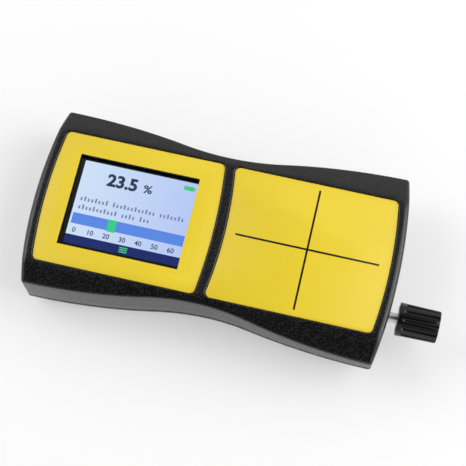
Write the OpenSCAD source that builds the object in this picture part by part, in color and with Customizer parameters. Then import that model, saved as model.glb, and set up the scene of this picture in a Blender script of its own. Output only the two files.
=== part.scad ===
// Electronic gold tester: a hand-held meter with a colour display at one end,
// a conductivity coil under a target mark at the other, and a push-and-turn knob.
// X runs along the housing from the display end (-X) to the knob end (+X), Y across it, Z up.
// The origin is the middle of the flat underside that the meter rests on. Millimetres.

/* [Housing] */
// Length of the housing, without the knob
case_length = 141.5; // [140:0.1:143]
// Width at the display end
display_end_width = 70.7; // [69:0.1:72]
// Width at the knob end
knob_end_width = 74.2; // [73:0.1:76]
// Width at the waist between the two labels
waist_width = 59.2; // [58.6:0.1:60]
// Place of the waist along the housing
waist_x = -1.4; // [-3:0.1:1]
// Radius of the hollow curve of the waist
waist_radius = 100; // [90:1:110]
// Radius of the bowed display end
display_end_radius = 170; // [160:1:190]
// Radius of the bowed knob end
knob_end_radius = 210; // [190:1:240]
// Rounding of the four corners, seen from above
corner_radius = 1.3; // [1:0.1:2]
// Height of the label faces above the underside
label_height = 27.5; // [27.5:0.1:28.5]
// Thickness of the housing walls
wall = 2; // [1.8:0.1:2]

/* [Housing top] */
// Height of the rims around the labels above the label faces
rim_height = 0.4; // [0.3:0.05:0.5]
// Half width of the flat middle of the top, where the sloping shoulders start
shoulder_start = 26.9; // [26.8:0.1:27.4]
// Slope at which the shoulders start, in degrees
shoulder_slope = 16; // [15:0.5:17]
// Radius of the curved shoulders
shoulder_radius = 80; // [75:1:90]
// Rounding of the top edge of the two ends
end_rounding = 1.6; // [1.4:0.1:1.8]

/* [Housing seam and underside] */
// Depth of the seam below the label faces at the display end
seam_depth_display = 20.7; // [20.5:0.1:21]
// Depth of the seam below the label faces at the knob end
seam_depth_knob = 10.2; // [10:0.1:10.4]
// How far the lower walls draw in at the display end
draw_in_display = 3.4; // [3.1:0.1:3.6]
// How far the lower walls draw in at the knob end
draw_in_knob = 8.8; // [8.4:0.1:9]

/* [Labels and display opening] */
// Thickness of the printed labels
label_thickness = 0.25; // [0.2:0.05:0.3]
// Width of both labels
label_width = 52.6; // [52:0.1:53]
// Rounding of the labels' corners
label_corner = 2; // [1.5:0.1:2.5]
// Length of the display opening
opening_length = 46.8; // [46:0.1:47]
// Width of the display opening
opening_width = 36.8; // [36:0.1:37]
// Middle of the display opening along the housing
opening_x = -34; // [-34.4:0.1:-33.6]

/* [Sensor] */
// Middle of the sensor and of its target mark along the housing
sensor_x = 35.1; // [34.8:0.1:35.4]
// Diameter of the coil former's flanges
former_diameter = 24; // [22:0.5:26]
// Diameter of the ferrite rod in the coil
ferrite_diameter = 6; // [5:0.1:6]

/* [Knob and encoder] */
// Place of the knob's axis across the housing
knob_y = -15.9; // [-17:0.1:-15]
// Depth of the knob's axis below the label faces
knob_depth = 10; // [9.8:0.1:10.2]
// Diameter of the knob at its inner end
knob_diameter = 12.7; // [12:0.1:13]
// Diameter of the knob at its outer end
knob_tip_diameter = 12.3; // [12:0.1:12.7]
// Length of the knob
knob_length = 15.6; // [15.2:0.1:16.5]
// Clear gap between the housing and the knob
knob_gap = 3.4; // [3:0.1:4]
// Number of flutes around the knob
flute_count = 12; // [10:1:14]
// Diameter of the encoder's shaft
shaft_diameter = 4; // [3.8:0.1:4.2]
// How far the knob can be pushed in
push_travel = 0.5; // [0.3:0.1:0.6]

/* [Batteries] */
// Diameter of a battery cell
cell_diameter = 14.2; // [14:0.1:14.4]
// Length of a battery cell over its button
cell_length = 50.3; // [50:0.1:50.5]
// Half width of the battery cover's plate
cover_half_width = 16.5; // [16.4:0.1:16.6]

/* [Hidden] */
$fn = 48;

// heights
rim_z = label_height + rim_height;
recess_z = label_height - label_thickness;
ceiling_z = recess_z - wall;
end_x = case_length / 2;
knob_z = label_height - knob_depth;

// centres of the arcs of the outline; the side arcs touch the waist arc smoothly
display_end_c = [-end_x + display_end_radius, 0];
knob_end_c = [end_x - knob_end_radius, 0];
waist_c = [waist_x, waist_width / 2 + waist_radius];
side_crown_inset = 5.7;
least_corner = 0.8;
display_crown_x = -end_x + side_crown_inset;
knob_crown_x = end_x;
function side_radius(crown_x, half) =
    let (dx = crown_x - waist_x, dw = half - waist_width / 2)
    (dx * dx + dw * dw) / (2 * dw) - waist_radius;
display_side_r = side_radius(display_crown_x, display_end_width / 2);
knob_side_r = side_radius(knob_crown_x, knob_end_width / 2);
display_side_c = [display_crown_x, display_end_width / 2 - display_side_r];
knob_side_c = [knob_crown_x, knob_end_width / 2 - knob_side_r];

// where two circles cross, on the outer side that dir picks
function circle_cross(a, ra, b, rb, dir) =
    let (d = norm(b - a), u = (b - a) / d, s = (ra * ra - rb * rb + d * d) / (2 * d))
    a + u * s + dir * sqrt(ra * ra - s * s) * [-u[1], u[0]];
function angle_of(v) = atan2(v[1], v[0]);
// points of an arc without its last one
function arc(c, r, a0, a1, n) =
    [for (k = [0:n - 1])
        let (a = a0 + (a1 - a0) * k / n)
        c + r * [cos(a), sin(a)]];

// upper half of the outline, drawn in by inset, from the display end to the knob end
function half_outline(inset) =
    let (
        rc = max(corner_radius - inset, least_corner),
        re = display_end_radius - inset,
        rk = knob_end_radius - inset,
        rl = display_side_r - inset,
        rr = knob_side_r - inset,
        rw = waist_radius + inset,
        kl = circle_cross(display_end_c, re - rc, display_side_c, rl - rc, -1),
        kr = circle_cross(knob_end_c, rk - rc, knob_side_c, rr - rc, 1)
    )
    concat(
        arc(display_end_c, re, 180, angle_of(kl - display_end_c), 4),
        arc(kl, rc, angle_of(kl - display_end_c), angle_of(kl - display_side_c), 4),
        arc(display_side_c, rl, angle_of(kl - display_side_c), angle_of(waist_c - display_side_c), 6),
        arc(waist_c, rw, angle_of(display_side_c - waist_c), angle_of(knob_side_c - waist_c), 8),
        arc(knob_side_c, rr, angle_of(waist_c - knob_side_c), angle_of(kr - knob_side_c), 6),
        arc(kr, rc, angle_of(kr - knob_side_c), angle_of(kr - knob_end_c), 4),
        arc(knob_end_c, rk, angle_of(kr - knob_end_c), 0, 4),
        [knob_end_c + [rk, 0]]
    );
function outline(inset) =
    let (up = half_outline(inset), n = len(up))
    concat(up, [for (k = [n - 2:-1:1]) [up[k][0], -up[k][1]]]);

// the seam between the shells sweeps from low at the display end to high at the knob end
seam_from_x = -22.9;
seam_lead = [20, 0.5];
seam_run_in = [13.1, 2.6];
function seam_point(t) =
    let (
        p = [
            [seam_from_x, -seam_depth_display],
            [seam_from_x + seam_lead[0], -seam_depth_display + seam_lead[1]],
            [seam_run_in[0], -seam_depth_knob - seam_run_in[1]],
            [end_x + 0.5, -seam_depth_knob]
        ],
        s = 1 - t
    )
    s * s * s * p[0] + 3 * s * s * t * p[1] + 3 * s * t * t * p[2] + t * t * t * p[3];
seam_steps = 10;
// well outside the housing, for cutting tools
far = 90;
seam_line = concat([[-far, label_height - seam_depth_display]],
    [for (k = [0:seam_steps]) seam_point(k / seam_steps) + [0, label_height]],
    [[far, label_height - seam_depth_knob]]);
function seam_z(x) = lookup(x, seam_line);

// all that lies below the seam raised by lift, or above the seam
module beside_seam(far_z, lift = 0) {
    translate([0, 50, lift])
        rotate([90, 0, 0])
            linear_extrude(100)
                polygon(concat(seam_line, [[far, far_z], [-far, far_z]]));
}
module below_seam(lift = 0) {
    beside_seam(-far, lift);
}
module above_seam() {
    beside_seam(far);
}

module prism(inset, z0, z1) {
    translate([0, 0, z0])
        linear_extrude(z1 - z0)
            polygon(outline(inset));
}

// cross-section of the top: flat in the middle, with curved shoulders that fall to the sides
crown_overlap = 1;
crown_step = 0.12;
module crown(drop = 0) {
    cy = shoulder_start - shoulder_radius * sin(shoulder_slope);
    cz = rim_z - shoulder_radius * cos(shoulder_slope);
    translate([-far, 0, -drop])
        rotate([90, 0, 90])
            linear_extrude(2 * far) {
                translate([-shoulder_start, -far])
                    square([2 * shoulder_start, rim_z + far]);
                // the shoulders overlap the middle a little and start a shade below the rims
                for (side = [-1, 1])
                    intersection() {
                        translate([side * cy, cz])
                            circle(r = shoulder_radius, $fn = 240);
                        translate([side * (shoulder_start - crown_overlap) - (side > 0 ? 0 : far), -far])
                            square([far, rim_z + far - crown_step]);
                    }
            }
}

// rings of points stacked from the lowest to the highest, skinned into one solid
module skin(rings) {
    n = len(rings[0]);
    m = len(rings);
    walls = [for (r = [0:m - 2], k = [0:n - 1], h = [0, 1])
        let (a = r * n + k, b = r * n + (k + 1) % n)
        h == 0 ? [a, b, a + n] : [b, b + n, a + n]];
    polyhedron(points = [for (ring = rings, p = ring) p],
        faces = concat([[for (k = [n - 1:-1:0]) k]], walls, [[for (k = [0:n - 1]) (m - 1) * n + k]]));
}
function ring(inset, z) = [for (p = outline(inset)) [p[0], p[1], z]];

// the whole upper body, with the top edge of its ends rounded over
module upper_body() {
    steps = 4;
    z0 = rim_z - end_rounding;
    skin(concat(
        [ring(0, 0), ring(0, z0)],
        [for (k = [1:steps])
            let (a = 90 * k / steps)
            ring(end_rounding * (1 - cos(a)), z0 + end_rounding * sin(a))]
    ));
}

// below an upright band under the seam the lower body draws in, down to a flat underside
seam_band = 1.4;
end_draw_in_display = 3;
end_draw_in_knob = 4.4;
// nearly all of the drawing-in happens above this share of the height, the rest rounds the foot
foot_share = 0.86;
foot_height = 0.09;
function drawn(p, share, z) =
    let (
        at = (p[0] + end_x) / case_length,
        side = draw_in_display + (draw_in_knob - draw_in_display) * at,
        end = end_draw_in_display + (end_draw_in_knob - end_draw_in_display) * at
    )
    [p[0] * (1 - share * end / end_x), p[1] * (1 - share * 2 * side / display_end_width), z];
function drawn_ring(inset, share, f, floor_z) =
    [for (p = outline(inset))
        let (s = seam_z(p[0]) - seam_band, z = floor_z + (s - floor_z) * f)
        drawn(p, share, z)];
module lower_body(inset = 0, floor_z = 0, top_z = label_height) {
    skin(concat(
        [drawn_ring(inset, 1, 0, floor_z)],
        [drawn_ring(inset, foot_share, foot_height, floor_z)],
        [drawn_ring(inset, 0, 1, floor_z)],
        [ring(inset, top_z)]
    ));
}

// lip of the lower shell, above the seam
lip_height = 1.4;

// places of the screws
case_screws_low = [[-58, 24.5], [-58, -24.5]];
case_screws_high = [[44, 22.5], [44, -22.5]];
display_posts = [[-46, 22.4], [-46, -22.4], [-11, 22.4], [-11, -22.4]];
sensor_posts = [[18, 14.5], [18, -14.5], [52, 14.5], [52, -14.5]];
control_posts = [[13, 20], [13, -20], [54, 20], [54, -21.5]];

// heights of the boards: underside of each
board_t = 1.6;
display_board_z = 19.75;
sensor_board_z = 16.6;
control_board_z = 9.4;
low_seat = 3;
high_seat = 9;
screw_length = 12;
well_radius = 3.9;
boss_radius = 2.9;
counterbore_d = 5.8;
clearance_d = 3.2;
pilot_d = 2.5;
board_pilot_d = 2.1;
display_post_radius = 1.8;
sensor_post_radius = 2.4;
control_post_radius = 2.6;
low_boss_z = 6.9;
high_boss_z = 15.6;

// the two labels: straight long edges, ends that follow the housing's bow
module label_shape(x0, r0, bow0, x1, r1, grow = 0) {
    h = label_width / 2 + grow;
    c = label_corner + grow;
    n = 12;
    // bow0 is -1 where the left end bulges outwards and 1 where it follows the bar inwards
    function left_x(y) = x0 - grow + (bow0 < 0 ? 1 : -1) * (y * y) / (2 * r0);
    function right_x(y) = x1 + grow - (y * y) / (2 * r1);
    left_pts = [for (k = [0:n]) let (y = -h + c + 2 * (h - c) * k / n) [left_x(y), y]];
    right_pts = [for (k = [n:-1:0]) let (y = -h + c + 2 * (h - c) * k / n) [right_x(y), y]];
    polygon(concat(left_pts,
        arc([left_x(h - c) + c, h - c], c, 180, 90, 5),
        [[left_x(h - c) + c, h], [right_x(h - c) - c, h]],
        arc([right_x(h - c) - c, h - c], c, 90, 0, 5),
        right_pts,
        arc([right_x(h - c) - c, c - h], c, 0, -90, 5),
        [[right_x(h - c) - c, -h], [left_x(h - c) + c, -h]],
        arc([left_x(h - c) + c, c - h], c, 270, 180, 5)));
}
// ends of each label along the housing, and the radii that they bow with
display_label_x = [-66.5, -0.95];
display_label_bow = [185, 215];
sensor_label_x = [3.6, 66.75];
sensor_label_bow = [165, 182];
label_gap = 0.25;
module display_label_shape(grow = 0) {
    label_shape(display_label_x[0], display_label_bow[0], -1, display_label_x[1], display_label_bow[1], grow);
}
module sensor_label_shape(grow = 0) {
    label_shape(sensor_label_x[0], sensor_label_bow[0], 1, sensor_label_x[1], sensor_label_bow[1], grow);
}

module opening(grow = 0) {
    translate([opening_x - opening_length / 2 - grow, -opening_width / 2 - grow])
        square([opening_length + 2 * grow, opening_width + 2 * grow]);
}

module at(places, z) {
    for (p = places)
        translate([p[0], p[1], z])
            children();
}

// the hole at the knob end, on the seam, that the encoder's bushing comes through
knob_hole_d = 8;
module knob_hole(d) {
    translate([end_x - 12, knob_y, knob_z])
        rotate([0, 90, 0])
            cylinder(d = d, h = 16);
}

module top_shell() {
    color([0.1, 0.1, 0.11])
        difference() {
            intersection() {
                upper_body();
                crown();
            }
            // hollow inside that follows the shoulders, around the screw bosses
            difference() {
                intersection() {
                    prism(wall, -1, ceiling_z);
                    crown(wall + 0.4);
                }
                at(case_screws_low, low_boss_z)
                    cylinder(r = boss_radius, h = label_height);
                at(case_screws_high, high_boss_z)
                    cylinder(r = boss_radius, h = label_height);
                at(display_posts, display_board_z + board_t)
                    cylinder(r = display_post_radius, h = label_height);
                at(sensor_posts, sensor_board_z + board_t)
                    cylinder(r = sensor_post_radius, h = label_height);
            }
            // rebate for the lower shell's lip
            intersection() {
                prism(wall / 2, -1, ceiling_z);
                below_seam(lip_height + 0.2);
            }
            below_seam();
            translate([0, 0, recess_z])
                linear_extrude(3) {
                    display_label_shape(label_gap);
                    sensor_label_shape(label_gap);
                }
            translate([0, 0, ceiling_z - 1])
                linear_extrude(6)
                    opening();
            // pocket that lets the coil come close to the label
            translate([sensor_x, 0, ceiling_z - 1])
                cylinder(d = former_diameter + 1, h = 1.95);
            knob_hole(knob_hole_d);
            at(case_screws_low, low_boss_z - 1)
                cylinder(d = pilot_d, h = 10);
            at(case_screws_high, high_boss_z - 1)
                cylinder(d = pilot_d, h = 8);
            at(display_posts, display_board_z)
                cylinder(d = board_pilot_d, h = 5);
            at(sensor_posts, sensor_board_z)
                cylinder(d = board_pilot_d, h = 6);
        }
}

// battery bay
bay_x0 = -64.4;
bay_x1 = -8.6;
bay_half = 15.2;
bay_roof = 17.6;
bay_wall = 1.2;
cell_y = 7.55;
cell_z = 9.4;
lead_y = 11;
lead_z = 11.8;
slot_end = -6.7;
rail_z = [0.95, 1.95];
rail_wall = 1.6;
rail_top_z = 3.2;
cover_z = [0.2, 1.75];
cover_gap = 0.25;
tongue_half = 18;
tongue_gap = 0.2;
plate_t = 0.4;

module bay_block(z0) {
    translate([bay_x0 - bay_wall, -bay_half - bay_wall, z0])
        cube([bay_x1 - bay_x0 + 2 * bay_wall, 2 * (bay_half + bay_wall), bay_roof + bay_wall - z0]);
}

module bottom_shell() {
    color([0.12, 0.12, 0.13])
        difference() {
            lower_body();
            // hollow inside, around the battery bay, cover rails, screw wells and board posts
            difference() {
                lower_body(wall, 2, label_height + 1);
                bay_block(-1);
                translate([-far, -tongue_half - rail_wall, -1])
                    cube([far + slot_end + rail_wall, 2 * (tongue_half + rail_wall), 1 + rail_top_z]);
                at(case_screws_low, -1)
                    cylinder(r = well_radius, h = 1 + low_boss_z - 0.3);
                at(case_screws_high, -1)
                    cylinder(r = well_radius, h = 1 + high_boss_z - 0.3);
                at(control_posts, -1)
                    cylinder(r = control_post_radius, h = 1 + control_board_z);
            }
            // cut along the seam, but for the bay and a lip that stands inside the upper shell
            difference() {
                above_seam();
                intersection() {
                    difference() {
                        prism(wall / 2 + 0.1, 1, label_height);
                        prism(wall + 0.5, 0, label_height + 1);
                    }
                    below_seam(lip_height);
                }
                bay_block(1);
            }
            // inside of the bay
            translate([bay_x0, -bay_half, -1])
                cube([bay_x1 - bay_x0, 2 * bay_half, bay_roof + 1]);
            // slot and grooves of the sliding cover
            translate([-far, -cover_half_width - cover_gap, -1])
                cube([far + slot_end, 2 * (cover_half_width + cover_gap), 1 + rail_z[1]]);
            translate([-far, -tongue_half - tongue_gap, rail_z[0]])
                cube([far + slot_end, 2 * (tongue_half + tongue_gap), rail_z[1] - rail_z[0]]);
            // screw wells and pilot holes
            at(case_screws_low, -1)
                cylinder(d = counterbore_d, h = 1 + low_seat);
            at(case_screws_high, -1)
                cylinder(d = counterbore_d, h = 1 + high_seat);
            at(concat(case_screws_low, case_screws_high), -2)
                cylinder(d = clearance_d, h = 22);
            at(control_posts, 4.5)
                cylinder(d = board_pilot_d, h = 6);
            // holes for the battery leads
            for (side = [-1, 1])
                translate([bay_x1 - 1, side * lead_y, lead_z])
                    rotate([0, 90, 0])
                        cylinder(d = 1.8, h = 3);
            knob_hole(knob_hole_d);
        }
}

module display_label() {
    color([0.92, 0.82, 0.25])
        translate([0, 0, recess_z])
            linear_extrude(label_thickness)
                difference() {
                    display_label_shape();
                    opening();
                }
}

module sensor_label() {
    color([0.92, 0.82, 0.25])
        translate([0, 0, recess_z])
            linear_extrude(label_thickness)
                sensor_label_shape();
}

// stack behind the display opening
window_t = 0.8;
gasket_t = 0.4;
lcd_t = 2.6;
lcd_length = 55.3;
lcd_width = 40.1;
lcd_x = -34.35;
lcd_y = 0.2;
window_z = ceiling_z - window_t;
gasket_z = window_z - gasket_t;
lcd_z = gasket_z - lcd_t;

module display_window() {
    color([0.8, 0.85, 0.9, 0.4])
        translate([0, 0, window_z])
            linear_extrude(window_t)
                opening(1.6);
}

module display_gasket() {
    color([0.15, 0.15, 0.15])
        translate([0, 0, gasket_z])
            linear_extrude(gasket_t)
                difference() {
                    translate([lcd_x, lcd_y])
                        square([lcd_length, lcd_width], center = true);
                    opening(0.5);
                }
}

module lcd_panel() {
    frame = 0.4;
    color([0.05, 0.08, 0.2])
        difference() {
            translate([lcd_x - lcd_length / 2, lcd_y - lcd_width / 2, lcd_z])
                cube([lcd_length, lcd_width, lcd_t]);
            // the glass is a step narrower than its light box
            for (side = [-1, 1])
                translate([lcd_x - 40, lcd_y + side * lcd_width / 2 - frame, lcd_z + 1.4])
                    cube([80, 2 * frame, 3]);
            translate([lcd_x + lcd_length / 2 - frame, -40, lcd_z + 1.4])
                cube([2, 80, 3]);
        }
}

module display_board() {
    color([0.05, 0.35, 0.2])
        translate([0, 0, display_board_z])
            linear_extrude(board_t)
                difference() {
                    translate([-65, -24.2])
                        square([64, 48.4]);
                    for (p = case_screws_low) {
                        translate(p)
                            circle(r = boss_radius + 0.5);
                        translate([p[0] - 3.4, p[1] > 0 ? p[1] : p[1] - 4])
                            square([6.8, 4]);
                    }
                    for (p = display_posts)
                        translate(p)
                            circle(d = 2.2);
                }
}

// flat cable that folds from the display round the left edge of its board
module flat_strip(path, t, w, y) {
    n = len(path);
    function nrm(k) =
        let (a = path[max(k - 1, 0)], b = path[min(k + 1, n - 1)], d = (b - a) / norm(b - a))
        [-d[1], d[0]] * t / 2;
    translate([0, y + w / 2, 0])
        rotate([90, 0, 0])
            linear_extrude(w)
                polygon(concat([for (k = [0:n - 1]) path[k] + nrm(k)],
                    [for (k = [n - 1:-1:0]) path[k] - nrm(k)]));
}

module display_cable() {
    color([0.75, 0.5, 0.15])
        flat_strip([[lcd_x - lcd_length / 2, 21.75], [-65.2, 21.75], [-66, 21.4], [-66.25, 20.65],
            [-66, 19.9], [-65.2, 19.6], [-61, 19.6]], 0.2, 16, 0);
}

module link_cable() {
    color([0.85, 0.85, 0.82])
        flat_strip([[-3.2, 18.8], [0.5, 18.8], [2.2, 18.2], [5.4, 13.6], [7.2, 12],
            [9, 11.8], [11.2, 11.8]], 0.3, 11, 0);
}

module cable_sockets() {
    socket_z = 18.05;
    color([0.9, 0.88, 0.8]) {
        difference() {
            translate([-6.4, -7, socket_z])
                cube([4.4, 14, display_board_z - socket_z]);
            translate([-3.4, -5.6, 18.6])
                cube([2, 11.2, 0.4]);
        }
        difference() {
            translate([10, -7, control_board_z + board_t])
                cube([4.4, 14, 1.7]);
            translate([9, -5.6, 11.6])
                cube([2.4, 11.2, 0.4]);
        }
    }
}

module control_board() {
    color([0.05, 0.35, 0.2])
        translate([0, 0, control_board_z])
            linear_extrude(board_t)
                difference() {
                    translate([8, -24.2])
                        square([56, 48.4]);
                    for (p = case_screws_high) {
                        translate(p)
                            circle(r = well_radius + 0.5);
                        translate([p[0] - 3.9, p[1] > 0 ? p[1] : p[1] - 4])
                            square([7.8, 4]);
                    }
                    for (p = control_posts)
                        translate(p)
                            circle(d = 2.2);
                }
}

module chip(x, y, lx, ly, h) {
    translate([x - lx / 2, y - ly / 2, control_board_z + board_t])
        linear_extrude(h)
            polygon([[0.8, 0], [lx, 0], [lx, ly], [0, ly], [0, 0.8]]);
}

module logic_chips() {
    color([0.08, 0.08, 0.09]) {
        chip(36, 3, 10, 10, 1.4);
        chip(50, 6, 5, 6.4, 1.5);
        chip(27, -9, 5, 4, 1.1);
        chip(34, -11, 3, 3, 1);
        chip(22, 10, 6.5, 3.5, 2.2);
    }
}

module board_header() {
    color([0.1, 0.1, 0.1])
        difference() {
            translate([56, -5, control_board_z + board_t])
                cube([2.5, 10, sensor_board_z - control_board_z - board_t]);
            translate([55, -4, 13.2])
                cube([5, 8, 1.2]);
        }
}

module sensor_board() {
    color([0.05, 0.35, 0.2])
        translate([0, 0, sensor_board_z])
            linear_extrude(board_t)
                difference() {
                    translate([14, -18.4])
                        square([45.5, 36.8]);
                    translate([56.5, -40])
                        square([10, 31]);
                    for (p = sensor_posts)
                        translate(p)
                            circle(d = 2.2);
                }
}

// sensor: a wound former on a ferrite rod with a round base
ferrite_base_t = 2;
former_z = sensor_board_z + board_t + ferrite_base_t;
former_top = recess_z - 1.1;
hub_d = 11;
flange_t = 0.8;

module sensor_former() {
    bore = ferrite_diameter / 2;
    rim = former_diameter / 2;
    hub = hub_d / 2;
    h = former_top - former_z;
    color([0.93, 0.93, 0.9])
        translate([sensor_x, 0, former_z])
            rotate_extrude($fn = 64)
                polygon([[bore, 0], [rim, 0], [rim, flange_t], [hub, flange_t], [hub, h - flange_t],
                    [rim, h - flange_t], [rim, h], [bore, h]]);
}

module sensor_coil() {
    layers = 5;
    h = former_top - former_z - 2 * flange_t;
    bead = h / layers;
    reach = former_diameter / 2 - 1.4;
    color([0.72, 0.38, 0.14])
        translate([sensor_x, 0, former_z + flange_t])
            rotate_extrude($fn = 64)
                polygon(concat(
                    [[hub_d / 2, 0]],
                    [for (k = [0:layers - 1], a = [-60:30:60])
                        [reach + bead / 2 * cos(a), bead * (k + 0.5) + bead / 2 * sin(a)]],
                    [[hub_d / 2, h]]
                ));
}

module ferrite_core() {
    rod = ferrite_diameter / 2;
    h = former_top - sensor_board_z - board_t;
    color([0.2, 0.2, 0.22])
        translate([sensor_x, 0, sensor_board_z + board_t])
            rotate_extrude($fn = 64)
                polygon([[0, 0], [11.5, 0], [12, 0.5], [12, ferrite_base_t], [rod, ferrite_base_t],
                    [rod, h], [0, h]]);
}

module coil_leads() {
    wire = 0.5;
    rise = 3.4;
    color([0.72, 0.38, 0.14])
        for (side = [-1, 1])
            translate([sensor_x + 12.6, side * 2, sensor_board_z + board_t]) {
                cylinder(d = wire, h = rise, $fn = 16);
                translate([0, 0, rise])
                    rotate([0, -90, 0])
                        cylinder(d = wire, h = 1.7, $fn = 16);
                translate([0, 0, rise])
                    sphere(d = wire, $fn = 16);
            }
}

// encoder: fixed body and bushing, turning rotor, sliding and turning shaft
enc_x0 = 57.5;
enc_x1 = 64.5;
enc_half = 5.9;
enc_top = 6;
rotor_gap = 0.4;
thread_d = 7;
rotor_x0 = 59.2;
rotor_x1 = 63.2;
rotor_d = 9;
bore_gap = 0.06;
bushing_end = end_x - 1.2;
dome_x0 = rotor_x0 - 0.8;
dome_t = 0.15;
// pushed all the way in, the shaft stops just short of the dome
shaft_tail = dome_x0 + dome_t + push_travel + 0.05;
knob_x0 = end_x + knob_gap - 0.6;
// flat of the D-shaped shaft and of the knob's bore, and where it starts inside the knob
shaft_flat = 0.6;
flat_start = 1.5;

module along_x(x0) {
    translate([x0, knob_y, knob_z])
        rotate([0, 90, 0])
            children();
}

module encoder_body() {
    color([0.75, 0.75, 0.77])
        difference() {
            translate([enc_x0, knob_y - enc_half, control_board_z + board_t])
                cube([enc_x1 - enc_x0, 2 * enc_half, knob_z + enc_top - control_board_z - board_t]);
            along_x(dome_x0)
                cylinder(d = rotor_d + 2 * rotor_gap, h = rotor_x1 - dome_x0 + rotor_gap);
            along_x(rotor_x0)
                cylinder(d = thread_d, h = 10);
            // clipped top corners
            for (side = [-1, 1])
                translate([enc_x0 - 1, knob_y + side * enc_half, knob_z + enc_top])
                    rotate([45, 0, 0])
                        translate([0, -1, -1])
                            cube([20, 2, 2]);
        }
}

module encoder_bushing() {
    color([0.7, 0.7, 0.72])
        difference() {
            along_x(rotor_x1 + rotor_gap)
                cylinder(d = thread_d, h = bushing_end - rotor_x1 - rotor_gap);
            along_x(rotor_x1 - 1)
                cylinder(d = shaft_diameter + 2 * bore_gap, h = 20);
            // shallow thread grooves near the free end
            for (k = [0:3])
                along_x(bushing_end - 0.9 - k)
                    difference() {
                        cylinder(d = thread_d + 1, h = 0.4);
                        translate([0, 0, -1])
                            cylinder(d = thread_d - 0.6, h = 3);
                    }
        }
}

module encoder_terminals() {
    color([0.85, 0.8, 0.6])
        for (k = [-2:2])
            translate([enc_x0 - 1.6, knob_y + 2.2 * k - 0.4, control_board_z + board_t]) {
                cube([1.6, 0.8, 0.3]);
                translate([1.3, 0, 0])
                    cube([0.3, 0.8, 2.2]);
            }
}

module switch_dome() {
    color([0.8, 0.8, 0.8])
        along_x(dome_x0)
            cylinder(d1 = 5, d2 = 4, h = dome_t);
}

module encoder_rotor() {
    color([0.9, 0.9, 0.85])
        difference() {
            along_x(rotor_x0)
                cylinder(d = rotor_d, h = rotor_x1 - rotor_x0);
            along_x(rotor_x0 - 1)
                cylinder(d = shaft_diameter + 2 * bore_gap, h = 20);
            // detent notches round the rim
            for (k = [0:11])
                along_x(rotor_x0 - 1)
                    rotate(30 * k + 15)
                        translate([rotor_d / 2 + 0.5, 0, 0])
                            cylinder(d = 2, h = 3, $fn = 24);
        }
}

module encoder_shaft() {
    shaft_end = knob_x0 + knob_length - 5;
    color([0.72, 0.72, 0.74])
        difference() {
            union() {
                along_x(shaft_tail)
                    cylinder(d = shaft_diameter, h = shaft_end - shaft_tail - 0.4);
                along_x(shaft_end - 0.4)
                    cylinder(d1 = shaft_diameter, d2 = shaft_diameter - 0.8, h = 0.4);
            }
            translate([knob_x0 + flat_start, knob_y - 5, knob_z + shaft_diameter / 2 - shaft_flat])
                cube([20, 10, 5]);
        }
}

// knob: plain collar, then flutes that run out with round ends, a chamfered tip
module control_knob() {
    collar = 1.7;
    rim_bevel = 0.35;
    flute_d = 2.1;
    reach = knob_diameter / 2 + 0.28;
    color([0.09, 0.09, 0.1])
        difference() {
            along_x(knob_x0)
                rotate_extrude($fn = 96)
                    polygon([
                        [0, 0], [knob_diameter / 2 - rim_bevel, 0], [knob_diameter / 2, rim_bevel],
                        [knob_diameter / 2 - 0.01, collar], [knob_tip_diameter / 2, knob_length - 0.5],
                        [knob_tip_diameter / 2 - 0.5, knob_length], [4.4, knob_length],
                        [4.1, knob_length - rim_bevel], [0, knob_length - rim_bevel]
                    ]);
            // undercut of the inner face around the hub
            along_x(knob_x0 - 1)
                difference() {
                    cylinder(d = knob_diameter - 2.6, h = 1.5);
                    translate([0, 0, -1])
                        cylinder(d = 7.4, h = 4);
                }
            for (k = [0:flute_count - 1])
                along_x(knob_x0 + collar + flute_d / 2)
                    rotate(k * 360 / flute_count + 15)
                        translate([reach, 0, 0]) {
                            rotate([0, -0.8, 0])
                                cylinder(d = flute_d, h = knob_length, $fn = 20);
                            sphere(d = flute_d, $fn = 20);
                        }
            // D-shaped bore
            difference() {
                along_x(knob_x0 - 1)
                    cylinder(d = shaft_diameter + 0.02, h = knob_length - 3.6);
                translate([knob_x0 + flat_start, knob_y - 5, knob_z + shaft_diameter / 2 - shaft_flat + 0.01])
                    cube([20, 10, 5]);
            }
        }
}

// places of the cells' flat ends
cell_a_x = bay_x1 - plate_t - cell_length;
cell_b_x = bay_x0 + plate_t + cell_length;

module cell(dir) {
    r = cell_diameter / 2;
    can = cell_length - 1.2;
    rotate([0, 90 * dir, 0])
        rotate_extrude($fn = 64)
            polygon([[0, 0], [r - 1.4, 0], [r - 1, 0.2], [r - 0.5, 0.2], [r, 0.7], [r, can - 0.7],
                [r - 0.6, can], [2.9, can], [2.7, can + 1.2], [0, can + 1.2]]);
}

module battery_cells() {
    color([0.25, 0.27, 0.3]) {
        translate([cell_a_x, cell_y, cell_z])
            cell(1);
        translate([cell_b_x, -cell_y, cell_z])
            cell(-1);
    }
}

module battery_springs() {
    // a shade short of the cell
    reach = cell_a_x - bay_x0 - plate_t - 0.05;
    color([0.8, 0.8, 0.8]) {
        translate([bay_x0 + plate_t, cell_y, cell_z])
            rotate([0, 90, 0])
                contact_spring(reach);
        translate([bay_x1 - plate_t, -cell_y, cell_z])
            rotate([0, -90, 0])
                contact_spring(reach);
    }
}

// conical contact spring: turns that shrink towards the cell
module contact_spring(h) {
    turns = 4;
    wire = 0.7;
    steps = 12;
    n = turns * steps;
    r0 = 4.6;
    r1 = 2.6;
    function p(k) =
        let (t = k / n, r = r0 + (r1 - r0) * t, a = 360 * k / steps)
        [r * cos(a), r * sin(a), wire / 2 + (h - wire) * t];
    rings = [for (k = [0:n])
        let (c = p(k), a = 360 * k / steps, radial = [cos(a), sin(a), 0])
        [for (j = [0:5]) c + wire / 2 * (cos(60 * j) * radial + sin(60 * j) * [0, 0, 1])]];
    skin(rings);
}

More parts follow.
